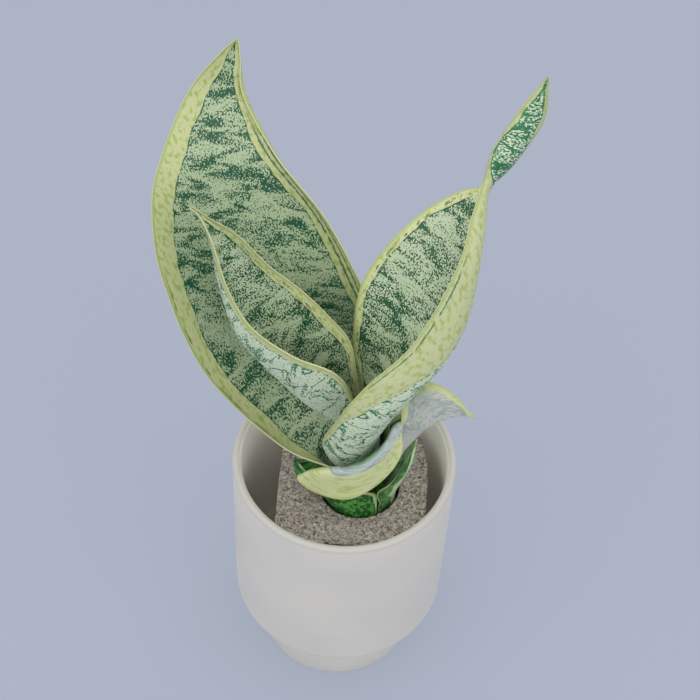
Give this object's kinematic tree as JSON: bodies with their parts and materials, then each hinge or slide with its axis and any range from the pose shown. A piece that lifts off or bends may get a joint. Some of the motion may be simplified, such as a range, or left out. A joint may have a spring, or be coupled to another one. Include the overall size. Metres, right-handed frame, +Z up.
{
  "type": "potted snake plant",
  "caption": "Young variegated snake plant rosette in a mineral grow block, standing in a plain footed ceramic pot.",
  "frame": {"origin": "centre of the flat underside of the pot's foot", "axes": "+Z up; the two tall leaves spread towards -X and +X and lean back towards +Y, and the low collar leaf faces -Y"},
  "size_m": [0.1732, 0.1504, 0.3354],
  "materials": {
    "ceramic": "satin off-white glaze",
    "mineral_grit": "rough fused grit",
    "rhizome": "pale waxy flesh",
    "leaf": "waxy variegated leaf",
    "sheath": "waxy dark green leaf base"
  },
  "bodies": {
    "root": {"pot": "ceramic", "grow_block": "mineral_grit", "crown": "rhizome", "back_left_leaf": "leaf", "heart_leaf": "leaf", "twisted_right_leaf": "leaf", "low_right_leaf": "leaf", "front_sheath": "sheath", "right_sheath": "sheath"}
  },
  "joints": []
}
